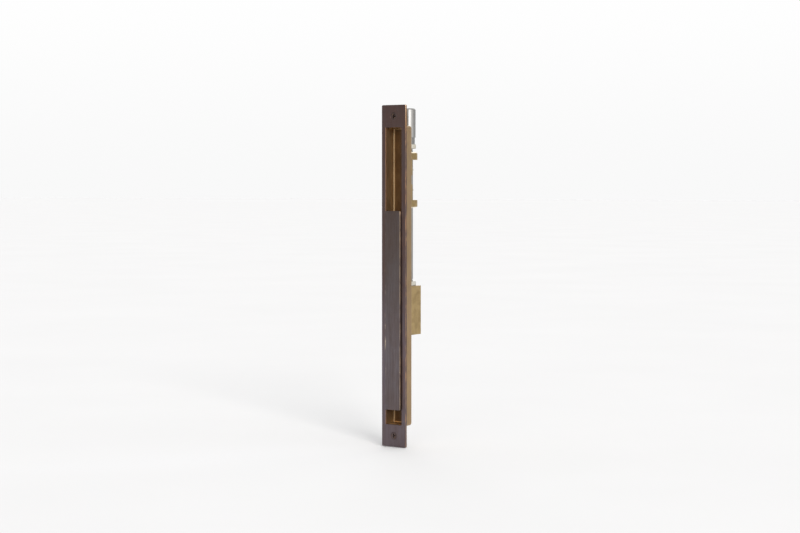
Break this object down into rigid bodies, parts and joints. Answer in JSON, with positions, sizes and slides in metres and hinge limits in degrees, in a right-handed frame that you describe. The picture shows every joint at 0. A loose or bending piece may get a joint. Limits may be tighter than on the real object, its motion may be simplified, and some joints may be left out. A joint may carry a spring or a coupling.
{
  "type": "slide-action flush bolt",
  "caption": "Door-edge flush bolt: a long bar slides in a recessed tray behind a narrow faceplate and throws a round bolt upwards.",
  "frame": {"origin": "middle of the faceplate's back, in the plane that lies on the door's edge", "axes": "+X across the faceplate, +Y into the door, +Z along the bolt's throw"},
  "size_m": [0.0254, 0.0342, 0.3048],
  "materials": {
    "dark_bronze": "oil-rubbed dark bronze on brass, satin, bright on worn edges",
    "dark_bronze_bar": "oil-rubbed dark bronze on brass, satin, rubbed along its edges",
    "bronze_screw": "dark bronze, satin",
    "aged_brass": "aged brass with thin dark patina",
    "cast_brass": "plain machined brass",
    "plated_steel": "zinc plated",
    "bright_steel": "drawn steel",
    "black_steel": "black oxide",
    "spring_steel": "blued spring steel",
    "nylon": "moulded, matt"
  },
  "bodies": {
    "case": {"faceplate": "dark_bronze", "tray": "aged_brass", "plate_studs": "plated_steel", "tray_nuts": "plated_steel", "mounting_screws": "bronze_screw", "stop_buffer_lower": "nylon", "stop_buffer_upper": "nylon", "rod_guide_lower": "cast_brass", "rod_guide_upper": "cast_brass", "guide_bush_lower": "nylon", "guide_bush_upper": "nylon", "guide_screws": "plated_steel"},
    "slide": {"slide_bar": "dark_bronze_bar", "glide_buttons": "nylon", "bow_spring_lower": "spring_steel", "bow_spring_upper": "spring_steel", "spring_rivets": "plated_steel", "drive_block": "cast_brass", "block_glides": "nylon", "drive_block_screws": "plated_steel", "drive_rod": "bright_steel", "rod_lock_nut": "plated_steel", "rod_set_screw": "black_steel", "head_lock_nut": "plated_steel", "bolt_head": "bright_steel"}
  },
  "joints": [
    {"name": "bolt_throw", "type": "slide", "parent": "case", "child": "slide", "axis": [0, 0, 1], "range_m": [0, 0.062]}
  ]
}
